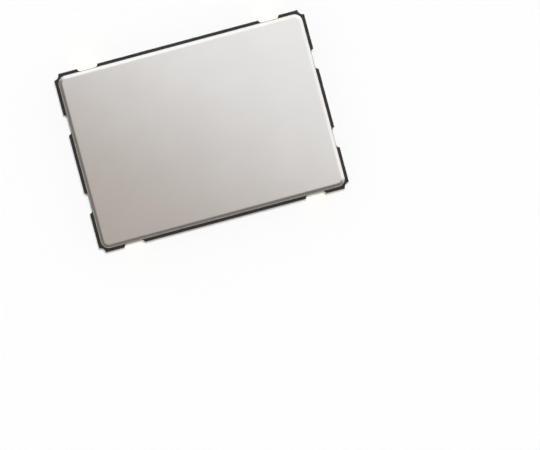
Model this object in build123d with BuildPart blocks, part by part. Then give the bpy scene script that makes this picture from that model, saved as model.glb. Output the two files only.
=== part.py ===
"""Crystal oscillator in a 7 x 5 mm surface-mount package.

A co-fired ceramic base with castellated edges holds an oscillator chip and a quartz blank.
A metal ring is brazed round its rim, and a bevelled lid is welded to the ring.
Millimetres. The origin is the middle of the solder plane, +X is along the long side, +Z points to the lid.
"""

import os

from build123d import *

# Package outline
package_length = 7.0
package_width = 5.0
corner_notch_radius = 0.15
castellation_width = 0.56
castellation_depth = 0.08
end_castellation_inset = 1.4
snap_bevel = 0.03

# Solder terminals
terminal_length = 1.4
terminal_width = 1.1
terminal_end_margin = 0.26
pin_one_chamfer = 0.35
plating_thickness = 0.02

# Ceramic layers, from the bottom up
floor_thickness = 0.30
bond_tier_height = 0.25
shelf_tier_height = 0.20
wall_tier_height = 0.25
wall_thickness = 0.55
cavity_corner_radius = 0.25
shelf_depth = 0.95

# Seal ring and lid
ring_setback = 0.09
ring_corner_radius = 0.22
ring_height = 0.23
ring_inner_ledge = 0.065
braze_thickness = 0.03
braze_fillet = 0.03
lid_step = 0.005
lid_thickness = 0.12
lid_bevel_width = 0.085
lid_bevel_height = 0.05
lid_edge_radius = 0.03

# Oscillator chip and its pocket
chip_length = 1.3
chip_width = 1.0
chip_thickness = 0.20
chip_pad_pitch = 0.38
chip_pad_inset = 0.12
pocket_end_clearance = 0.55
pocket_side_clearance = 0.30
pocket_corner_radius = 0.15
die_pad_margin = 0.18
die_pad_thickness = 0.015
die_attach_margin = 0.05
die_attach_thickness = 0.025

# Bond fingers
fingers_per_side = 3
finger_pitch = 0.55
finger_width = 0.30
finger_inset = 0.06
finger_thickness = 0.015

# Bond wires
wire_diameter = 0.025
wire_sides = 8
ball_diameter = 0.075
ball_height = 0.02
neck_height = 0.015
loop_rise = 0.10
loop_bend_share = 0.5
heel_radius = 0.15
wedge_length = 0.10
wedge_width = 0.05
wedge_flat_share = 0.6
wedge_inset = 0.16

# Quartz blank and its mounting
land_gap = 0.50
land_width = 0.85
land_margin = 0.10
land_thickness = 0.015
glue_base_radius = 0.30
glue_top_radius = 0.22
glue_bulge_share = 0.15
glue_height = 0.03
blank_end_overhang = 0.32
blank_side_overhang = 0.42
blank_tip_clearance = 0.70
blank_thickness = 0.07
electrode_end_margin = 1.40
electrode_side_margin = 0.35
electrode_thickness = 0.004
tab_width = 0.50

# Levels above the solder plane
ceramic_bottom = plating_thickness
floor_top = ceramic_bottom + floor_thickness
bond_tier_top = floor_top + bond_tier_height
shelf_top = bond_tier_top + shelf_tier_height
ceramic_top = shelf_top + wall_tier_height
ring_bottom = ceramic_top + braze_thickness
ring_top = ring_bottom + ring_height

# Plan sizes worked out from the driving dimensions
terminal_pitch = package_length - 2 * terminal_end_margin - terminal_length
terminal_row_spacing = package_width - terminal_width
end_castellation_pitch = package_width - 2 * end_castellation_inset
cavity_length = package_length - 2 * wall_thickness
cavity_width = package_width - 2 * wall_thickness
ring_length = package_length - 2 * ring_setback
ring_width = package_width - 2 * ring_setback
ring_opening_length = cavity_length + 2 * ring_inner_ledge
ring_opening_width = cavity_width + 2 * ring_inner_ledge
ring_opening_radius = cavity_corner_radius + ring_inner_ledge
lid_length = ring_length - 2 * lid_step
lid_width = ring_width - 2 * lid_step

# Chip pocket, in the middle of the floor that the crystal shelf leaves free
shelf_edge_x = shelf_depth - cavity_length / 2
pocket_x = (shelf_edge_x + cavity_length / 2) / 2
pocket_length = chip_length + 2 * pocket_end_clearance
pocket_width = chip_width + 2 * pocket_side_clearance
die_attach_bottom = floor_top + die_pad_thickness
chip_bottom = die_attach_bottom + die_attach_thickness
chip_top = chip_bottom + chip_thickness

# Quartz blank, held at the shelf and free at the other end
shelf_middle_x = (shelf_edge_x - cavity_length / 2) / 2
land_y = (land_gap + land_width) / 2
land_length = shelf_depth - 2 * land_margin
land_top = shelf_top + land_thickness
blank_bottom = land_top + glue_height + electrode_thickness
blank_top = blank_bottom + blank_thickness
blank_start_x = shelf_middle_x - blank_end_overhang
blank_tip_x = cavity_length / 2 - blank_tip_clearance
blank_length = blank_tip_x - blank_start_x
blank_middle_x = (blank_start_x + blank_tip_x) / 2
blank_width = 2 * (land_y + blank_side_overhang)
electrode_length = blank_length - 2 * electrode_end_margin
electrode_width = blank_width - 2 * electrode_side_margin
tab_length = 2 * blank_end_overhang
glue_flank = glue_base_radius - glue_top_radius
glue_waist_radius = (glue_base_radius + glue_top_radius) / 2 + glue_bulge_share * glue_flank

os.makedirs("parts", exist_ok=True)

# Ceramic base: the block with its snapped top edge, the notches, the terminals' reliefs and the stepped cavity
with BuildPart() as ceramic_base:
    with BuildSketch(Plane.XY.offset(ceramic_bottom)):
        Rectangle(package_length, package_width)
    extrude(amount=ceramic_top - ceramic_bottom)
    chamfer(ceramic_base.faces().sort_by(Axis.Z)[-1].edges(), length=snap_bevel)
    with BuildSketch(Plane.XY.offset(ceramic_bottom)):
        with GridLocations(package_length, package_width, 2, 2):
            Circle(corner_notch_radius)
        with GridLocations(terminal_pitch, package_width, 2, 2):
            SlotOverall(castellation_width, 2 * castellation_depth)
        with GridLocations(package_length, end_castellation_pitch, 2, 2):
            SlotOverall(castellation_width, 2 * castellation_depth, rotation=90)
    extrude(amount=ceramic_top - ceramic_bottom, mode=Mode.SUBTRACT)
    with BuildSketch(Plane.XY.offset(ceramic_bottom)):
        with GridLocations(terminal_pitch, package_width, 2, 2):
            SlotOverall(
                castellation_width + 2 * plating_thickness,
                2 * (castellation_depth + plating_thickness),
            )
    extrude(amount=bond_tier_top - ceramic_bottom, mode=Mode.SUBTRACT)
    with BuildSketch(Plane.XY.offset(shelf_top)):
        RectangleRounded(cavity_length, cavity_width, cavity_corner_radius)
    extrude(amount=wall_tier_height, mode=Mode.SUBTRACT)
    with BuildSketch(Plane.XY.offset(bond_tier_top)):
        RectangleRounded(cavity_length, cavity_width, cavity_corner_radius)
        with Locations((shelf_middle_x, 0)):
            Rectangle(shelf_depth, cavity_width, mode=Mode.SUBTRACT)
    extrude(amount=shelf_tier_height, mode=Mode.SUBTRACT)
    with BuildSketch(Plane.XY.offset(floor_top)):
        with Locations((pocket_x, 0)):
            RectangleRounded(pocket_length, pocket_width, pocket_corner_radius)
    extrude(amount=bond_tier_height, mode=Mode.SUBTRACT)
ceramic_base.part.label = "ceramic_base"
export_step(ceramic_base.part, "parts/ceramic_base.step")

# Solder terminals: a pad under each corner, with plating up the edge notch above it
terminal_corners = {
    "terminal_1_enable": (-1, -1),
    "terminal_2_ground": (1, -1),
    "terminal_3_output": (1, 1),
    "terminal_4_supply": (-1, 1),
}
for name, (side_x, side_y) in terminal_corners.items():
    notch_centre = (side_x * terminal_pitch / 2, side_y * package_width / 2)
    with BuildPart() as terminal:
        with BuildSketch(Plane.XY) as pad:
            with Locations((side_x * terminal_pitch / 2, side_y * terminal_row_spacing / 2)):
                Rectangle(terminal_length, terminal_width)
            if name == "terminal_1_enable":
                inner_corner = pad.vertices().sort_by_distance((0, 0))[0]
                chamfer(inner_corner, length=pin_one_chamfer)
            with Locations(notch_centre):
                SlotOverall(castellation_width, 2 * castellation_depth, mode=Mode.SUBTRACT)
        extrude(amount=plating_thickness)
        with BuildSketch(Plane.XY.offset(ceramic_bottom)):
            with Locations(notch_centre):
                SlotOverall(
                    castellation_width + 2 * plating_thickness,
                    2 * (castellation_depth + plating_thickness),
                )
                SlotOverall(castellation_width, 2 * castellation_depth, mode=Mode.SUBTRACT)
            Rectangle(package_length, package_width, mode=Mode.INTERSECT)
        extrude(amount=bond_tier_top - ceramic_bottom)
    terminal.part.label = name
    export_step(terminal.part, f"parts/{name}.step")

# Braze seam: the alloy under the ring, with a sloping fillet that creeps inwards from the ring's wall
with BuildPart() as braze_seam:
    with BuildSketch(Plane.XY.offset(ceramic_top)):
        RectangleRounded(ring_length, ring_width, ring_corner_radius)
    extrude(amount=braze_thickness)
    with BuildSketch(Plane.XY.offset(ceramic_top)):
        RectangleRounded(
            ring_opening_length - 2 * braze_fillet,
            ring_opening_width - 2 * braze_fillet,
            ring_opening_radius - braze_fillet,
        )
    with BuildSketch(Plane.XY.offset(ring_bottom)):
        RectangleRounded(ring_opening_length, ring_opening_width, ring_opening_radius)
    loft(mode=Mode.SUBTRACT)
braze_seam.part.label = "braze_seam"
export_step(braze_seam.part, "parts/braze_seam.step")

# Seal ring: a punched metal frame
with BuildPart() as seal_ring:
    with BuildSketch(Plane.XY.offset(ring_bottom)):
        RectangleRounded(ring_length, ring_width, ring_corner_radius)
        RectangleRounded(
            ring_opening_length, ring_opening_width, ring_opening_radius, mode=Mode.SUBTRACT
        )
    extrude(amount=ring_height)
seal_ring.part.label = "seal_ring"
export_step(seal_ring.part, "parts/seal_ring.step")

# Lid: a plate with a coined bevel all round, rounded where the bevel meets the top
with BuildPart() as lid:
    with BuildSketch(Plane.XY.offset(ring_top)):
        RectangleRounded(lid_length, lid_width, ring_corner_radius - lid_step)
    extrude(amount=lid_thickness)
    lid_face = lid.faces().sort_by(Axis.Z)[-1]
    chamfer(lid_face.edges(), length=lid_bevel_width, length2=lid_bevel_height, reference=lid_face)
    fillet(lid.faces().sort_by(Axis.Z)[-1].edges(), radius=lid_edge_radius)
lid.part.label = "lid"
export_step(lid.part, "parts/lid.step")

# Die pad: the gold film on the pocket's floor
with BuildPart() as die_pad:
    with BuildSketch(Plane.XY.offset(floor_top)):
        with Locations((pocket_x, 0)):
            Rectangle(chip_length + 2 * die_pad_margin, chip_width + 2 * die_pad_margin)
    extrude(amount=die_pad_thickness)
die_pad.part.label = "die_pad"
export_step(die_pad.part, "parts/die_pad.step")

# Die attach: cured adhesive squeezed out a little round the chip
with BuildPart() as die_attach:
    with BuildSketch(Plane.XY.offset(die_attach_bottom)):
        with Locations((pocket_x, 0)):
            RectangleRounded(
                chip_length + 2 * die_attach_margin, chip_width + 2 * die_attach_margin, die_attach_margin
            )
    extrude(amount=die_attach_thickness)
die_attach.part.label = "die_attach"
export_step(die_attach.part, "parts/die_attach.step")

# Oscillator chip: sawn silicon
with BuildPart() as oscillator_chip:
    with BuildSketch(Plane.XY.offset(chip_bottom)):
        with Locations((pocket_x, 0)):
            Rectangle(chip_length, chip_width)
    extrude(amount=chip_thickness)
oscillator_chip.part.label = "oscillator_chip"
export_step(oscillator_chip.part, "parts/oscillator_chip.step")

# Bond fingers and bond wires: one row on each long side of the chip
finger_start_y = pocket_width / 2 + finger_inset
finger_length = cavity_width / 2 - finger_start_y
finger_top = bond_tier_top + finger_thickness
ball_top = chip_top + ball_height + neck_height
loop_top = max(ball_top, finger_top) + loop_rise
wedge_thickness = wedge_flat_share * wire_diameter
landing_z = finger_top + wedge_thickness
for index in range(2 * fingers_per_side):
    side = 1 if index < fingers_per_side else -1
    step = index % fingers_per_side - (fingers_per_side - 1) / 2
    finger_x = pocket_x + step * finger_pitch
    with BuildPart() as bond_finger:
        with BuildSketch(Plane.XY.offset(bond_tier_top)):
            with Locations((finger_x, side * (finger_start_y + finger_length / 2))):
                Rectangle(finger_width, finger_length)
        extrude(amount=finger_thickness)
    bond_finger.part.label = f"bond_finger_{index + 1}"
    export_step(bond_finger.part, f"parts/bond_finger_{index + 1}.step")

    chip_pad = Vector(pocket_x + step * chip_pad_pitch, side * (chip_width / 2 - chip_pad_inset), chip_top)
    wedge_middle = Vector(finger_x, side * (finger_start_y + wedge_inset), finger_top)
    run = Vector(wedge_middle.X - chip_pad.X, wedge_middle.Y - chip_pad.Y, 0).normalized()
    heel = wedge_middle - run * wedge_length
    with BuildPart() as bond_wire:
        with BuildSketch(Plane(origin=chip_pad, x_dir=run, z_dir=(run.Y, -run.X, 0))):
            with BuildLine():
                Polyline(
                    (0, 0),
                    (ball_diameter / 2, 0),
                    (ball_diameter / 2, ball_height),
                    (wire_diameter / 2, ball_height + neck_height),
                    (0, ball_height + neck_height),
                    close=True,
                )
            make_face()
        revolve(axis=Axis(chip_pad, (0, 0, 1)))
        with BuildLine():
            FilletPolyline(
                (chip_pad.X, chip_pad.Y, ball_top),
                (chip_pad.X, chip_pad.Y, loop_top),
                (heel.X, heel.Y, landing_z),
                (wedge_middle.X, wedge_middle.Y, landing_z),
                radius=[loop_bend_share * loop_rise, heel_radius],
            )
        with BuildSketch(Plane.XY.offset(ball_top)):
            with Locations((chip_pad.X, chip_pad.Y)):
                RegularPolygon(wire_diameter / 2, wire_sides)
        sweep()
        with BuildSketch(Plane(origin=wedge_middle, x_dir=run, z_dir=(0, 0, 1))):
            SlotOverall(wedge_length, wedge_width)
        extrude(amount=wedge_thickness)
    bond_wire.part.label = f"bond_wire_{index + 1}"
    export_step(bond_wire.part, f"parts/bond_wire_{index + 1}.step")

# Crystal lands and glue dots: the blank's two electrical and mechanical holds
for hand, side in (("left", -1), ("right", 1)):
    with BuildPart() as crystal_land:
        with BuildSketch(Plane.XY.offset(shelf_top)):
            with Locations((shelf_middle_x, side * land_y)):
                Rectangle(land_length, land_width)
        extrude(amount=land_thickness)
    crystal_land.part.label = f"crystal_land_{hand}"
    export_step(crystal_land.part, f"parts/crystal_land_{hand}.step")

    dot_middle = (shelf_middle_x, side * land_y, land_top)
    with BuildPart() as glue_dot:
        with BuildSketch(Plane(origin=dot_middle, x_dir=(1, 0, 0), z_dir=(0, -1, 0))):
            with BuildLine():
                Polyline((0, glue_height), (0, 0), (glue_base_radius, 0))
                ThreePointArc(
                    (glue_base_radius, 0),
                    (glue_waist_radius, glue_height / 2),
                    (glue_top_radius, glue_height),
                )
                Line((glue_top_radius, glue_height), (0, glue_height))
            make_face()
        revolve(axis=Axis(dot_middle, (0, 0, 1)))
    glue_dot.part.label = f"glue_dot_{hand}"
    export_step(glue_dot.part, f"parts/glue_dot_{hand}.step")

# Quartz blank: a thin polished plate, held at one end
with BuildPart() as quartz_blank:
    with BuildSketch(Plane.XY.offset(blank_bottom)):
        with Locations((blank_middle_x, 0)):
            Rectangle(blank_length, blank_width)
    extrude(amount=blank_thickness)
quartz_blank.part.label = "quartz_blank"
export_step(quartz_blank.part, "parts/quartz_blank.step")

# Upper electrode: its track runs to the right-hand dot, over the blank's end and under it
electrode_start_x = blank_middle_x - electrode_length / 2
tab_end_x = blank_start_x + tab_length
with BuildPart() as upper_electrode:
    with BuildSketch(Plane.XY.offset(blank_top)):
        with Locations((blank_middle_x, 0)):
            Rectangle(electrode_length, electrode_width)
        with BuildLine():
            Polyline(
                (blank_start_x, land_y - tab_width / 2),
                (tab_end_x, land_y - tab_width / 2),
                (electrode_start_x, -tab_width / 2),
                (electrode_start_x, tab_width / 2),
                (tab_end_x, land_y + tab_width / 2),
                (blank_start_x, land_y + tab_width / 2),
                close=True,
            )
        make_face()
    extrude(amount=electrode_thickness)
    with BuildSketch(Plane.XY.offset(blank_bottom - electrode_thickness)):
        with Locations((blank_start_x - electrode_thickness / 2, land_y)):
            Rectangle(electrode_thickness, tab_width)
    extrude(amount=blank_thickness + 2 * electrode_thickness)
    with BuildSketch(Plane.XY.offset(blank_bottom - electrode_thickness)):
        with Locations((blank_start_x + tab_length / 2, land_y)):
            Rectangle(tab_length, tab_width)
    extrude(amount=electrode_thickness)
upper_electrode.part.label = "upper_electrode"
export_step(upper_electrode.part, "parts/upper_electrode.step")

# Lower electrode: its track runs straight to the left-hand dot
with BuildPart() as lower_electrode:
    with BuildSketch(Plane.XY.offset(blank_bottom - electrode_thickness)):
        with Locations((blank_middle_x, 0)):
            Rectangle(electrode_length, electrode_width)
        with BuildLine():
            Polyline(
                (blank_start_x, -land_y - tab_width / 2),
                (tab_end_x, -land_y - tab_width / 2),
                (electrode_start_x, -tab_width / 2),
                (electrode_start_x, tab_width / 2),
                (tab_end_x, -land_y + tab_width / 2),
                (blank_start_x, -land_y + tab_width / 2),
                close=True,
            )
        make_face()
    extrude(amount=electrode_thickness)
lower_electrode.part.label = "lower_electrode"
export_step(lower_electrode.part, "parts/lower_electrode.step")
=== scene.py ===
"""The looks of a 7 x 5 mm surface-mount crystal oscillator, in the order in which it is put together.

Lengths are metres in the CAD frame: +X along the long side, +Z up through the lid, zero at the solder.
"""

import math

import bpy
import numpy as np
from mathutils import Matrix, Vector


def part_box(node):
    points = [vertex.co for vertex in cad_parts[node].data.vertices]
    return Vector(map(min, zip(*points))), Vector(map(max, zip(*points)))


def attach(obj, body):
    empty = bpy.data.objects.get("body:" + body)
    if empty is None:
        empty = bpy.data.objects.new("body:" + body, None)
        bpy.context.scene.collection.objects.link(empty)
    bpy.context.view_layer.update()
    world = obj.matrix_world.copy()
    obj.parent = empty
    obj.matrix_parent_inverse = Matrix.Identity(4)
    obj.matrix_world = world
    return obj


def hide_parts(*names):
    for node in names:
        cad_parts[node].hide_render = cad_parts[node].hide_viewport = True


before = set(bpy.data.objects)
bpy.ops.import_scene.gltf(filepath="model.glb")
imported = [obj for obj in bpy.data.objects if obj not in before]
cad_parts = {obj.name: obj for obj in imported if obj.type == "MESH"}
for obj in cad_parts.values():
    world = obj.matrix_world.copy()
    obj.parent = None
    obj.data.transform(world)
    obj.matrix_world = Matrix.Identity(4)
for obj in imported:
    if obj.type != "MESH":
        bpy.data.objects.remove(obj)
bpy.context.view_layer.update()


# Ceramic base
# Four layers of dark alumina tape, stacked and fired into one body, then snapped from a sheet.
# Its faces are matt and finely grained, with faint lines round the sides where layer was pressed on layer.
CERAMIC_DARK = (0.026, 0.0236, 0.0217, 1.0)
CERAMIC_LIGHT = (0.043, 0.0391, 0.0361, 1.0)
CERAMIC_SEAM = (0.016, 0.0148, 0.014, 1.0)
CERAMIC_GRAIN = 0.000022
CERAMIC_CLOUD = 0.0005
CERAMIC_CLOUD_SHARE = 0.5
CERAMIC_RELIEF = 0.0000016
CERAMIC_SHEEN = 0.13
CERAMIC_ROUGH = (0.56, 0.7)
SEAM_HALF_WIDTH = 0.000005
SEAM_WANDER = 0.000012
SEAM_WANDER_LENGTH = 0.0004
SIDE_LEAN = 0.5
CLOUD_DETAIL = 3.5


class Recipe:
    """Steps worked out in a node tree, one node for each."""

    def __init__(self, tree):
        self.tree = tree

    def node(self, kind, **settings):
        """A new node of this kind, with the named settings."""
        made = self.tree.nodes.new(kind)
        for key, value in settings.items():
            setattr(made, key, value)
        return made

    def feed(self, source, target):
        """Joins an output to an input, or sets the input where the source is a plain value."""
        if isinstance(source, bpy.types.NodeSocket):
            self.tree.links.new(source, target)
        else:
            target.default_value = source

    def sum(self, operation, *values):
        """One step of arithmetic on sockets or numbers."""
        made = self.node("ShaderNodeMath", operation=operation)
        for value, target in zip(values, made.inputs):
            self.feed(value, target)
        return made.outputs[0]

    def spread(self, value, low, high, start=0.3, end=0.7):
        """The value's range from start to end laid over low to high, with soft ends.

        Unless they are given, start and end are about as far as smooth noise reaches.
        """
        made = self.node("ShaderNodeMapRange", interpolation_type="SMOOTHSTEP")
        for target, number in zip(made.inputs, (value, start, end, low, high)):
            self.feed(number, target)
        return made.outputs[0]

    def blend(self, share, first, second):
        """A colour between the first, at share 0, and the second, at share 1."""
        made = self.node("ShaderNodeMix", data_type="RGBA")
        self.feed(share, made.inputs[0])
        first_input, second_input = [socket for socket in made.inputs if socket.type == "RGBA"]
        self.feed(first, first_input)
        self.feed(second, second_input)
        return [socket for socket in made.outputs if socket.type == "RGBA"][0]

    def parts(self, vector):
        """The X, Y and Z of a vector."""
        made = self.node("ShaderNodeSeparateXYZ")
        self.feed(vector, made.inputs[0])
        return made.outputs


class Finish(Recipe):
    """A material with one Principled shader, whose patterns read the piece's own Object coordinates."""

    def __init__(self, name, metallic=0.0):
        self.material = bpy.data.materials.new(name)
        self.material.use_nodes = True
        super().__init__(self.material.node_tree)
        self.shader = self.tree.nodes["Principled BSDF"]
        self.shader.inputs["Metallic"].default_value = metallic
        self.place = self.node("ShaderNodeTexCoord").outputs["Object"]

    def stretched(self, lengths):
        """Object coordinates divided by a length for each axis, to draw a pattern out along the longest."""
        made = self.node("ShaderNodeMapping")
        made.inputs["Scale"].default_value = [1.0 / length for length in lengths]
        self.feed(self.place, made.inputs["Vector"])
        return made.outputs[0]

    def cloud(self, *lengths):
        """Smooth noise from 0 to 1, with blotches of one length, or of a length for each axis."""
        made = self.node("ShaderNodeTexNoise")
        made.inputs["Scale"].default_value = 1.0
        made.inputs["Detail"].default_value = CLOUD_DETAIL
        self.feed(self.stretched(lengths if len(lengths) == 3 else lengths * 3), made.inputs["Vector"])
        return made.outputs["Fac"]

    def cells(self, length):
        """Distance from the middle of the nearest grain, for grains of about the given length."""
        made = self.node("ShaderNodeTexVoronoi")
        made.inputs["Scale"].default_value = 1.0
        self.feed(self.stretched((length, length, length)), made.inputs["Vector"])
        return made.outputs["Distance"]

    def upward(self):
        """How far the surface faces up: 1 on a top, 0 on a side, -1 underneath."""
        return self.parts(self.node("ShaderNodeNewGeometry").outputs["Normal"])["Z"]

    def colour(self, source):
        """Gives the shader its base colour."""
        self.feed(source, self.shader.inputs["Base Color"])

    def rough(self, source):
        """Gives the shader its roughness."""
        self.feed(source, self.shader.inputs["Roughness"])

    def relief(self, height, depth):
        """Raises the surface by up to the depth where the height pattern is 1."""
        made = self.node("ShaderNodeBump")
        made.inputs["Distance"].default_value = depth
        self.feed(height, made.inputs["Height"])
        self.feed(made.outputs[0], self.shader.inputs["Normal"])

    def dress(self, *names):
        """Puts the finish on the named CAD nodes."""
        for name in names:
            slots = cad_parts[name].data.materials
            slots.clear()
            slots.append(self.material)


ceramic = Finish("fired_alumina")
ceramic.shader.inputs["Specular IOR Level"].default_value = CERAMIC_SHEEN
grain = ceramic.cloud(CERAMIC_GRAIN)
cloud = ceramic.cloud(CERAMIC_CLOUD)
tone = ceramic.sum("MULTIPLY_ADD", ceramic.sum("SUBTRACT", cloud, grain), CERAMIC_CLOUD_SHARE, grain)
body_colour = ceramic.blend(ceramic.spread(tone, 0.0, 1.0), CERAMIC_DARK, CERAMIC_LIGHT)
on_side = ceramic.sum("LESS_THAN", ceramic.sum("ABSOLUTE", ceramic.upward()), SIDE_LEAN)
wander = ceramic.spread(ceramic.cloud(SEAM_WANDER_LENGTH), -SEAM_WANDER, SEAM_WANDER)
level = ceramic.sum("ADD", ceramic.parts(ceramic.place)["Z"], wander)
seam = 0.0
for film in ("die_pad", "bond_finger_1", "crystal_land_left"):
    layer_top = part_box(film)[0].z
    seam = ceramic.sum("MAXIMUM", ceramic.sum("COMPARE", level, layer_top, SEAM_HALF_WIDTH), seam)
seam = ceramic.sum("MULTIPLY", seam, on_side)
ceramic.colour(ceramic.blend(seam, body_colour, CERAMIC_SEAM))
ceramic.rough(ceramic.spread(cloud, *CERAMIC_ROUGH))
ceramic.relief(ceramic.sum("SUBTRACT", grain, seam), CERAMIC_RELIEF)
ceramic.dress("ceramic_base")


# Solder terminals
# Printed tungsten under each corner and up its edge notch, plated with nickel and soft gold.
# The plating is satin, a little cloudy, and grained by the print under it.
GOLD_DEEP = (0.84, 0.5, 0.03, 1.0)
GOLD_PALE = (0.93, 0.66, 0.09, 1.0)
GOLD_CLOUD = (0.0009, 0.0004, 0.0006)
GOLD_PRINT = 0.000018
GOLD_RELIEF = 0.0000012
GOLD_ROUGH = (0.26, 0.38)

pad_gold = Finish("pad_gold", metallic=1.0)
pad_print = pad_gold.cloud(GOLD_PRINT)
pad_cloud = pad_gold.spread(pad_gold.cloud(*GOLD_CLOUD), 0.0, 1.0)
pad_gold.colour(pad_gold.blend(pad_cloud, GOLD_DEEP, GOLD_PALE))
pad_gold.rough(pad_gold.spread(pad_print, *GOLD_ROUGH))
pad_gold.relief(pad_print, GOLD_RELIEF)
pad_gold.dress("terminal_1_enable", "terminal_2_ground", "terminal_3_output", "terminal_4_supply")


# Gold films inside the cavity
# The die pad, the bond fingers and the crystal lands, printed on the ceramic and plated like the terminals.
# They are thinner and a little coarser, because nothing polishes them.
FILM_DEEP = (0.8, 0.5, 0.1, 1.0)
FILM_PALE = (0.9, 0.64, 0.2, 1.0)
FILM_PRINT = 0.000014
FILM_RELIEF = 0.0000015
FILM_ROUGH = (0.3, 0.48)
FINGERS = [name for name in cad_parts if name.startswith("bond_finger")]

film_gold = Finish("film_gold", metallic=1.0)
film_print = film_gold.cloud(FILM_PRINT)
film_gold.colour(film_gold.blend(film_gold.spread(film_print, 0.0, 1.0), FILM_DEEP, FILM_PALE))
film_gold.rough(film_gold.spread(film_print, *FILM_ROUGH))
film_gold.relief(film_print, FILM_RELIEF)
film_gold.dress("die_pad", "crystal_land_left", "crystal_land_right", *FINGERS)


# Seal ring and its braze
# A punched frame of iron-nickel-cobalt alloy, whose wall keeps the upright drag lines of the punch.
# Silver-copper braze fixes it to the ceramic's printed rim, and both are plated with nickel.
RING_DEEP = (0.5, 0.485, 0.46, 1.0)
RING_PALE = (0.62, 0.605, 0.58, 1.0)
RING_LINES = (0.000012, 0.000012, 0.0002)
RING_RELIEF = 0.0000007
RING_ROUGH = (0.3, 0.44)
BRAZE_DEEP = (0.56, 0.52, 0.45, 1.0)
BRAZE_PALE = (0.72, 0.68, 0.6, 1.0)
BRAZE_CLOUD = (0.00005, 0.00005, 0.00002)
BRAZE_RELIEF = 0.000002
BRAZE_ROUGH = (0.3, 0.5)

ring_metal = Finish("punched_nickel", metallic=1.0)
punch_lines = ring_metal.cloud(*RING_LINES)
ring_metal.colour(ring_metal.blend(ring_metal.spread(punch_lines, 0.0, 1.0), RING_DEEP, RING_PALE))
ring_metal.rough(ring_metal.spread(punch_lines, *RING_ROUGH))
ring_metal.relief(punch_lines, RING_RELIEF)
ring_metal.dress("seal_ring")

braze = Finish("silver_braze", metallic=1.0)
braze_tone = braze.cloud(*BRAZE_CLOUD)
braze.colour(braze.blend(braze.spread(braze_tone, 0.0, 1.0), BRAZE_DEEP, BRAZE_PALE))
braze.rough(braze.spread(braze_tone, *BRAZE_ROUGH))
braze.relief(braze_tone, BRAZE_RELIEF)
braze.dress("braze_seam")


# Oscillator chip and the silver adhesive
# A sawn piece of processed silicon whose top shows blocks of circuit in dull violets and greys.
# Silver-filled adhesive sticks it to the die pad, and two dots of the same kind hold the quartz.
SILICON_FIELD = (0.075, 0.07, 0.1, 1.0)
SILICON_BLOCK = (0.2, 0.19, 0.24, 1.0)
SILICON_BLOCK_SIZE = 0.00011
SILICON_BLOCK_DEPTH = 1.0
SILICON_RELIEF = 0.0000008
SILICON_ROUGH = (0.15, 0.32)
SILICON_METAL_SHARE = 0.55
SILVER_PASTE_DARK = (0.3, 0.29, 0.27, 1.0)
SILVER_PASTE_LIGHT = (0.66, 0.65, 0.62, 1.0)
SILVER_FLAKE = 0.000012
SILVER_FLAKE_RELIEF = 0.0000025
SILVER_FLAKE_REACH = (0.0, 0.8)
SILVER_PASTE_ROUGH = (0.36, 0.62)
SILVER_PASTE_METAL_SHARE = 0.7

silicon = Finish("processed_silicon", metallic=SILICON_METAL_SHARE)
blocks = silicon.node("ShaderNodeTexVoronoi", distance="CHEBYCHEV")
blocks.inputs["Scale"].default_value = 1.0
block_lengths = (SILICON_BLOCK_SIZE, SILICON_BLOCK_SIZE, SILICON_BLOCK_DEPTH)
silicon.feed(silicon.stretched(block_lengths), blocks.inputs["Vector"])
block_tones = silicon.parts(blocks.outputs["Color"])
silicon.colour(silicon.blend(block_tones["X"], SILICON_FIELD, SILICON_BLOCK))
silicon.rough(silicon.spread(block_tones["Y"], *SILICON_ROUGH, 0.0, 1.0))
silicon.relief(blocks.outputs["Distance"], SILICON_RELIEF)
silicon.dress("oscillator_chip")

silver_paste = Finish("silver_paste", metallic=SILVER_PASTE_METAL_SHARE)
flake = silver_paste.cells(SILVER_FLAKE)
silver_paste.colour(silver_paste.blend(flake, SILVER_PASTE_LIGHT, SILVER_PASTE_DARK))
silver_paste.rough(silver_paste.spread(flake, *SILVER_PASTE_ROUGH, *SILVER_FLAKE_REACH))
silver_paste.relief(flake, SILVER_FLAKE_RELIEF)
silver_paste.dress("die_attach", "glue_dot_left", "glue_dot_right")


# Bond wires
# Drawn gold wire from the chip's pads to the bond fingers, three on each long side of the chip.
# Each is melted to a ball that is pressed on the pad, looped over, and stitched flat to its finger.
WIRES_PER_SIDE = 3
WIRE_RADIUS = 0.0000125
BALL_RADIUS = 0.0000375
BALL_AND_NECK = 0.000035
PAD_PITCH = 0.00038
PAD_INSET = 0.00012
STITCH_INSET = 0.00016
STITCH_LENGTH = 0.0001
STITCH_TAIL = 0.00005
STITCH_HALF_WIDTH = 0.000025
STITCH_HALF_HEIGHT = 0.0000075
STITCH_TIP_SHARE = 0.55
LOOP_REACH = 0.00015
LOOP_DROP_BACK = 0.00024
LOOP_DROP_RISE = 0.00006
WIRE_AROUND = 16
BALL_ROWS = 9
LOOP_ROWS = 32
STITCH_ROWS = 12
WIRE_DEEP = (0.9, 0.6, 0.16, 1.0)
WIRE_PALE = (0.97, 0.74, 0.3, 1.0)
WIRE_CLOUD = 0.00002
WIRE_RELIEF = 0.0000004
WIRE_ROUGH = (0.12, 0.24)
UP = np.array((0.0, 0.0, 1.0))


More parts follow.
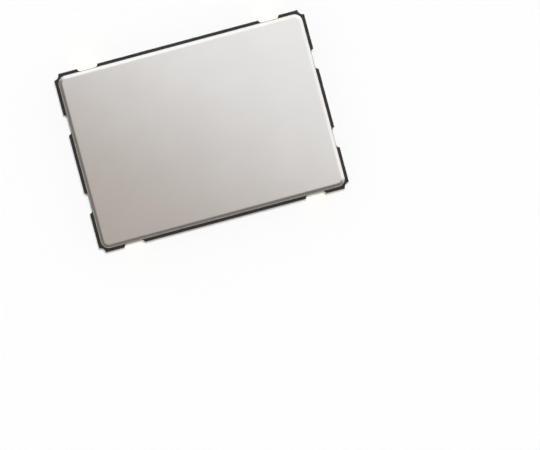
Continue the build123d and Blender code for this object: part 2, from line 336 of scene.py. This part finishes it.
def wrapped_skin(name, rows, finish, node):
    """A closed skin in place of a CAD node, through rows of points shaped (row, place round the row, xyz).

    Neighbouring rows are joined by quads, and the first and last rows are closed at their middles.
    Each row runs anticlockwise seen from the row after it, so that the faces point outwards.
    """
    count, around = rows.shape[:2]
    points = np.concatenate([rows.reshape(-1, 3), rows[[0, -1]].mean(axis=1)])
    here = np.arange(count * around).reshape(count, around)
    beside = np.roll(here, -1, axis=1)
    quads = np.stack([here[:-1], beside[:-1], beside[1:], here[1:]], axis=-1).reshape(-1, 4)
    start_pole = np.full(around, count * around)
    start_cap = np.stack([beside[0], here[0], start_pole], axis=-1)
    end_cap = np.stack([here[-1], beside[-1], start_pole + 1], axis=-1)
    mesh = bpy.data.meshes.new(name)
    mesh.from_pydata(points.tolist(), [], quads.tolist() + start_cap.tolist() + end_cap.tolist())
    mesh.polygons.foreach_set("use_smooth", np.ones(len(mesh.polygons), dtype=bool))
    mesh.materials.append(finish.material)
    piece = bpy.data.objects.new(name, mesh)
    bpy.context.scene.collection.objects.link(piece)
    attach(piece, "root")
    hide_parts(node)


def bond_wire_rows(pad, stitch_middle):
    """Rows of a bond wire from its pad to its stitch.

    The ball is a quarter ellipse turned about the vertical. Its radius at a share h of its height
    is wire + (ball - wire) x sqrt(1 - h squared).
    The loop is a cubic Bezier curve from the ball's top, straight up, to the stitch's heel.
    The stitch runs level, and its section goes from the wire's circle to a flat ellipse by a smooth step.
    """
    across = stitch_middle - pad
    run = across * (1, 1, 0) / np.hypot(across[0], across[1])
    side = np.cross(run, UP)
    rise = np.linspace(0, 1, BALL_ROWS)[:, None]
    ball = pad + UP * BALL_AND_NECK * rise
    ball_radius = WIRE_RADIUS + (BALL_RADIUS - WIRE_RADIUS) * np.sqrt(1 - rise**2)
    start = ball[-1]
    heel = stitch_middle - run * STITCH_LENGTH + UP * WIRE_RADIUS
    over = start + UP * LOOP_REACH
    falling = heel - run * LOOP_DROP_BACK + UP * LOOP_DROP_RISE
    t = np.linspace(0, 1, LOOP_ROWS + 1)[1:, None]
    loop = (1 - t) ** 3 * start + 3 * (1 - t) ** 2 * t * over
    loop = loop + 3 * (1 - t) * t**2 * falling + t**3 * heel
    along = np.linspace(0, 1, STITCH_ROWS + 1)[1:, None]
    pressed = along**2 * (3 - 2 * along)
    half_height = WIRE_RADIUS + (STITCH_HALF_HEIGHT - WIRE_RADIUS) * pressed
    half_width = WIRE_RADIUS + (STITCH_HALF_WIDTH - WIRE_RADIUS) * pressed
    reach = along * (STITCH_LENGTH + STITCH_TAIL) - STITCH_LENGTH
    stitch = stitch_middle + run * reach + UP * half_height
    half_width[-1] *= STITCH_TIP_SHARE
    half_height[-1] *= STITCH_TIP_SHARE
    path = np.concatenate([ball, loop, stitch])
    plain = np.full((LOOP_ROWS, 1), WIRE_RADIUS)
    widths = np.concatenate([ball_radius, plain, half_width])
    heights = np.concatenate([ball_radius, plain, half_height])
    forward = np.gradient(path, axis=0)
    forward[:BALL_ROWS] = UP
    forward[-STITCH_ROWS:] = run
    forward /= np.linalg.norm(forward, axis=1, keepdims=True)
    above = np.cross(forward, side)
    angle = np.linspace(0, 2 * math.pi, WIRE_AROUND, endpoint=False)[None, :, None]
    ring = np.cos(angle) * (widths * side)[:, None] + np.sin(angle) * (heights * above)[:, None]
    return path[:, None] + ring


wire_gold = Finish("drawn_gold", metallic=1.0)
wire_tone = wire_gold.cloud(WIRE_CLOUD)
wire_gold.colour(wire_gold.blend(wire_gold.spread(wire_tone, 0.0, 1.0), WIRE_DEEP, WIRE_PALE))
wire_gold.rough(wire_gold.spread(wire_tone, *WIRE_ROUGH))
wire_gold.relief(wire_tone, WIRE_RELIEF)

chip_low, chip_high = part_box("oscillator_chip")
chip_middle = (chip_low + chip_high) / 2
for finger in FINGERS:
    number = finger.rsplit("_", 1)[1]
    finger_low, finger_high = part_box(finger)
    finger_middle = (finger_low + finger_high) / 2
    hand = math.copysign(1, finger_middle.y - chip_middle.y)
    place_in_row = (int(number) - 1) % WIRES_PER_SIDE - (WIRES_PER_SIDE - 1) / 2
    inner_end = finger_low.y if hand > 0 else finger_high.y
    pad_y = chip_middle.y + hand * ((chip_high.y - chip_low.y) / 2 - PAD_INSET)
    pad = np.array((chip_middle.x + place_in_row * PAD_PITCH, pad_y, chip_high.z))
    stitch_middle = np.array((finger_middle.x, inner_end + hand * STITCH_INSET, finger_high.z))
    wire_rows = bond_wire_rows(pad, stitch_middle)
    wrapped_skin(f"gold_wire_{number}", wire_rows, wire_gold, f"bond_wire_{number}")


# Quartz blank and its electrodes
# A lapped and etched plate of clear quartz, held at one end on the adhesive dots.
# A silver film is evaporated on each face, with a tail to its own dot.
QUARTZ_TINT = (0.95, 0.97, 0.98, 1.0)
QUARTZ_CLOUDED = (0.86, 0.89, 0.91, 1.0)
QUARTZ_ETCH = 0.00003
QUARTZ_RELIEF = 0.0000006
QUARTZ_ETCH_REACH = (0.0, 0.8)
QUARTZ_ROUGH = (0.08, 0.22)
QUARTZ_IOR = 1.544
SILVER_DULL = (0.78, 0.77, 0.74, 1.0)
SILVER_BRIGHT = (0.92, 0.91, 0.89, 1.0)
SILVER_CLOUD = 0.0003
SILVER_GRAIN = 0.00001
SILVER_RELIEF = 0.0000003
SILVER_ROUGH = (0.15, 0.27)

quartz = Finish("etched_quartz")
quartz.shader.inputs["IOR"].default_value = QUARTZ_IOR
quartz.shader.inputs["Transmission Weight"].default_value = 1.0
etch = quartz.cells(QUARTZ_ETCH)
quartz.colour(quartz.blend(etch, QUARTZ_TINT, QUARTZ_CLOUDED))
quartz.rough(quartz.spread(etch, *QUARTZ_ROUGH, *QUARTZ_ETCH_REACH))
quartz.relief(etch, QUARTZ_RELIEF)
quartz.dress("quartz_blank")

silver = Finish("silver_film", metallic=1.0)
silver_tone = silver.cloud(SILVER_CLOUD)
silver.colour(silver.blend(silver.spread(silver_tone, 0.0, 1.0), SILVER_DULL, SILVER_BRIGHT))
silver.rough(silver.spread(silver_tone, *SILVER_ROUGH))
silver.relief(silver.cloud(SILVER_GRAIN), SILVER_RELIEF)
silver.dress("upper_electrode", "lower_electrode")


# Lid
# A rolled plate of iron-nickel-cobalt alloy with a coined bevel, plated with satin nickel.
# Its edge is seam-welded to the ring by rollers that leave the bevel a little rougher than the top.
# The vacuum inside pulls the plate in by a few micrometres.
LID_CORNER = 0.000215
LID_BEVEL_WIDTH = 0.000085
LID_BEVEL_HEIGHT = 0.00005
LID_FOOT_CUT = 0.000006
LID_SHOULDER_CUT = 0.000012
LID_CREST_CUT = 0.00002
LID_SAG = 0.000004
LID_ROUND_STEPS = 7
LID_CORNER_STEPS = 16
LID_SIDE_STEPS = 40
LID_TOP_ROWS = 14
LID_SUPPORT = 0.000004
LID_DEEP = (0.71, 0.68, 0.642, 1.0)
LID_PALE = (0.73, 0.7, 0.66, 1.0)
LID_ROLLING = (0.0005, 0.000006, 0.0005)
LID_HAZE = (0.0012, 0.0009, 0.001)
LID_RELIEF = 0.00000012
LID_ROUGH = (0.32, 0.37)
WELD_GRAIN = 0.00002
WELD_LEAN = (0.995, 0.93)
WELD_ROUGHER = 0.05
WELD_DEEPER = 4.0


def rounded_outline(half_length, half_width, radius):
    """A rounded rectangle, as a core and a direction for each place round it.

    It runs anticlockwise from the right-hand side.
    Its outline at an inset is core + (radius - inset) x direction.
    On a corner the core stays and the direction turns by a right angle.
    On a side the direction stays and the core goes straight to the next corner.
    """
    corners = np.array(((1, 1), (-1, 1), (-1, -1), (1, -1))) * (half_length - radius, half_width - radius)
    quarter = np.arange(4)[:, None] * math.pi / 2
    turn = quarter + np.linspace(0, math.pi / 2, LID_CORNER_STEPS + 1)
    turn_direction = np.stack([np.cos(turn), np.sin(turn)], axis=-1)
    turn_core = np.broadcast_to(corners[:, None], turn_direction.shape)
    share = np.linspace(0, 1, LID_SIDE_STEPS + 1)[1:-1, None]
    side_core = corners[:, None] * (1 - share) + np.roll(corners, -1, axis=0)[:, None] * share
    side_direction = np.broadcast_to(turn_direction[:, -1:], side_core.shape)
    core = np.concatenate([turn_core, side_core], axis=1).reshape(-1, 2)
    direction = np.concatenate([turn_direction, side_direction], axis=1).reshape(-1, 2)
    return core, direction


def eased_corner(before, corner, after, cut):
    """A corner of the profile, eased by a parabola that starts and ends a cut's length from it."""
    before, corner, after = np.array((before, corner, after))
    start = corner + (before - corner) / np.linalg.norm(before - corner) * cut
    end = corner + (after - corner) / np.linalg.norm(after - corner) * cut
    t = np.linspace(0, 1, LID_ROUND_STEPS)[:, None]
    return (1 - t) ** 2 * start + 2 * (1 - t) * t * corner + t**2 * end


def lid_rows(low, high):
    """Rows of the lid, from its underside round the edge to the crest, then in to the middle of its top.

    The edge follows a profile of inset and height, eased at its foot, its shoulder and its crest.
    On the top the outline is scaled by k, and the plate sinks by sag x (1 - k squared) squared.
    """
    thickness = high.z - low.z
    shoulder_height = thickness - LID_BEVEL_HEIGHT
    underside, foot = (LID_CORNER, 0.0), (0.0, 0.0)
    shoulder, crest = (0.0, shoulder_height), (LID_BEVEL_WIDTH, thickness)
    top = (LID_CORNER, thickness)
    edges = [eased_corner(underside, foot, shoulder, LID_FOOT_CUT)]
    edges.append(eased_corner(foot, shoulder, crest, LID_SHOULDER_CUT))
    edges.append(eased_corner(shoulder, crest, top, LID_CREST_CUT))
    support = (LID_SUPPORT, 0.0)
    profile = np.concatenate([[edges[0][0] + support], *edges, [edges[-1][-1] + support]])
    core, direction = rounded_outline((high.x - low.x) / 2, (high.y - low.y) / 2, LID_CORNER)
    outline = core + (LID_CORNER - profile[:, :1, None]) * direction
    heights = np.broadcast_to(low.z + profile[:, 1:, None], (*outline.shape[:2], 1))
    edge_rows = np.concatenate([outline, heights], axis=-1)
    k = np.linspace(1, 0, LID_TOP_ROWS + 1)[1:-1, None, None]
    shrunk = k * outline[-1]
    sunk = np.broadcast_to(high.z - LID_SAG * (1 - k**2) ** 2, (*shrunk.shape[:2], 1))
    top_rows = np.concatenate([shrunk, sunk], axis=-1)
    return np.concatenate([edge_rows, top_rows])


lid_metal = Finish("satin_nickel", metallic=1.0)
weld = lid_metal.spread(lid_metal.upward(), 0.0, 1.0, *WELD_LEAN)
rolling = lid_metal.cloud(*LID_ROLLING)
pressed_grain = lid_metal.sum("MULTIPLY", lid_metal.cloud(WELD_GRAIN), weld)
haze = lid_metal.spread(lid_metal.cloud(*LID_HAZE), 0.0, 1.0)
lid_metal.colour(lid_metal.blend(haze, LID_DEEP, LID_PALE))
rolled_rough = lid_metal.spread(rolling, *LID_ROUGH)
lid_metal.rough(lid_metal.sum("MULTIPLY_ADD", weld, WELD_ROUGHER, rolled_rough))
lid_metal.relief(lid_metal.sum("MULTIPLY_ADD", pressed_grain, WELD_DEEPER, rolling), LID_RELIEF)
wrapped_skin("bevelled_lid", lid_rows(*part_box("lid")), lid_metal, "lid")


# Floor
# A plain white table top, lit like the part, with a share of even white mixed in.
# The camera, mirrors and glass see that share, and the rest keeps the part's soft shadow.
FLOOR_HALF = 1.5
FLOOR_LEVEL = -0.000002
FLOOR_WHITE = (0.97, 0.97, 0.97, 1.0)
FLOOR_GLOW_SHARE = 0.38

floor_corners = np.array(((-1, -1), (1, -1), (1, 1), (-1, 1))) * FLOOR_HALF
floor_mesh = bpy.data.meshes.new("floor")
floor_mesh.from_pydata([(x, y, FLOOR_LEVEL) for x, y in floor_corners], [], [(0, 1, 2, 3)])
floor = bpy.data.objects.new("floor", floor_mesh)
bpy.context.scene.collection.objects.link(floor)

floor_paint = Finish("white_table")
floor_paint.shader.inputs["Specular IOR Level"].default_value = 0.0
floor_paint.colour(FLOOR_WHITE)
floor_path = floor_paint.node("ShaderNodeLightPath").outputs
mirrored = floor_paint.sum("MAXIMUM", floor_path["Is Glossy Ray"], floor_path["Is Transmission Ray"])
seen = floor_paint.sum("MAXIMUM", floor_path["Is Camera Ray"], mirrored)
floor_mix = floor_paint.node("ShaderNodeMixShader")
floor_paint.feed(floor_paint.sum("MULTIPLY", seen, FLOOR_GLOW_SHARE), floor_mix.inputs[0])
floor_paint.feed(floor_paint.shader.outputs[0], floor_mix.inputs[1])
floor_paint.feed(floor_paint.node("ShaderNodeEmission").outputs[0], floor_mix.inputs[2])
floor_paint.feed(floor_mix.outputs[0], floor_paint.tree.nodes["Material Output"].inputs["Surface"])
floor_mesh.materials.append(floor_paint.material)


# Tent and soft box
# What the metal mirrors: a tent, white on the far right and grey on the near left and round its skirt,
# with a dim opening overhead and a cool soft box over the far right corner.
LIGHT_TURN = math.radians(49)
LIGHT_SIDE = Vector((math.cos(LIGHT_TURN), math.sin(LIGHT_TURN), 0.0))
TENT_NEAR = (0.1, 0.095, 0.09, 1.0)
TENT_FAR = (2.01, 2.08, 2.17, 1.0)
TENT_TURN = (-0.05, 0.65)
SKIRT_GREY = (0.23, 0.23, 0.23, 1.0)
SKIRT_EDGE = (0.1, 0.46)
OPENING_DIM = (0.496, 0.4435, 0.405, 1.0)
OPENING_EDGE = (0.58, 0.82)

world = bpy.data.worlds.new("tent")
bpy.context.scene.world = world
world.cycles_visibility.diffuse = False
world.use_nodes = True
tent = Recipe(world.node_tree)
direction = tent.node("ShaderNodeTexCoord").outputs["Generated"]
height = tent.parts(direction)["Z"]
towards_light = tent.node("ShaderNodeVectorMath", operation="DOT_PRODUCT")
tent.feed(direction, towards_light.inputs[0])
tent.feed(LIGHT_SIDE, towards_light.inputs[1])
far_share = tent.spread(towards_light.outputs["Value"], 0.0, 1.0, *TENT_TURN)
cloth = tent.blend(far_share, TENT_NEAR, TENT_FAR)
cloth = tent.blend(tent.spread(height, 1.0, 0.0, *SKIRT_EDGE), cloth, SKIRT_GREY)
cloth = tent.blend(tent.spread(height, 0.0, 1.0, *OPENING_EDGE), cloth, OPENING_DIM)
tent.feed(cloth, tent.tree.nodes["Background"].inputs["Color"])

SOFTBOX_DEPTH = 0.014
SOFTBOX_WIDTH = 0.02
SOFTBOX_HEIGHT = 0.016
SOFTBOX_RADIANCE = 0.83
SOFTBOX_COLOUR = (0.91, 1.03, 1.17)

softbox_light = bpy.data.lights.new("softbox", "AREA")
softbox_light.shape = "RECTANGLE"
softbox_light.color = SOFTBOX_COLOUR
softbox_light.size = SOFTBOX_DEPTH
softbox_light.size_y = SOFTBOX_WIDTH
# An area lamp's power is pi times its radiance times its area.
softbox_light.energy = SOFTBOX_RADIANCE * math.pi * SOFTBOX_DEPTH * SOFTBOX_WIDTH
softbox = bpy.data.objects.new("softbox", softbox_light)
softbox.location = LIGHT_SIDE * SOFTBOX_DEPTH / 2 + Vector((0, 0, SOFTBOX_HEIGHT))
softbox.rotation_euler = (0, 0, LIGHT_TURN)
softbox.visible_camera = False
softbox.visible_diffuse = False
bpy.context.scene.collection.objects.link(softbox)


# Key and fill lamps
# A small key lamp almost straight overhead gives the part a narrow shadow, and an even fill softens it.
# They light the matt surfaces, and the metal shows neither of them.
KEY_SIDE = Vector((0.025, 0.042, 1.0))
KEY_SOFTNESS = math.radians(2)
KEY_STRENGTH = 2.7
FILL_SIDE = Vector((0.0, 0.0, 1.0))
FILL_SOFTNESS = math.radians(180)
FILL_STRENGTH = 0.5


def far_lamp(name, side, softness, strength):
    """A lamp far off on the given side, as wide in the sky as its softness, which metal does not mirror."""
    light = bpy.data.lights.new(name, "SUN")
    light.energy = strength
    light.angle = softness
    lamp = bpy.data.objects.new(name, light)
    lamp.rotation_euler = side.to_track_quat("Z", "Y").to_euler()
    lamp.visible_glossy = False
    bpy.context.scene.collection.objects.link(lamp)


far_lamp("key", KEY_SIDE, KEY_SOFTNESS, KEY_STRENGTH)
far_lamp("fill", FILL_SIDE, FILL_SOFTNESS, FILL_STRENGTH)


# Camera
# Seen almost straight down through a long lens, with the package placed and turned as in the photograph.
# The scale is the one at the level of the ceramic's rim.
PHOTO_PIXELS = Vector((540, 450))
PACKAGE_MIDDLE_PIXEL = Vector((201.63, 131.19))
PIXELS_PER_METRE = 36950
PACKAGE_TURN = math.radians(15)
CAMERA_SIDE = Vector((-0.0075, 0.005, 1.0))
LENS = 800

camera_data = bpy.data.cameras.new("camera")
camera_data.lens = LENS
camera = bpy.data.objects.new("camera", camera_data)
aim_right, aim_down = (PHOTO_PIXELS / 2 - PACKAGE_MIDDLE_PIXEL) / PIXELS_PER_METRE
distance = PHOTO_PIXELS.x / PIXELS_PER_METRE * camera_data.lens / camera_data.sensor_width
lean = Vector((0, 0, 1)).rotation_difference(CAMERA_SIDE)
view = lean.to_matrix() @ Matrix.Rotation(-PACKAGE_TURN, 3, "Z")
rim_level = Vector((0, 0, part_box("seal_ring")[0].z))
camera.rotation_euler = view.to_euler()
camera.location = rim_level + view @ Vector((aim_right, -aim_down, distance))
bpy.context.scene.collection.objects.link(camera)
bpy.context.scene.camera = camera

bpy.context.scene.view_settings.view_transform = "Standard"
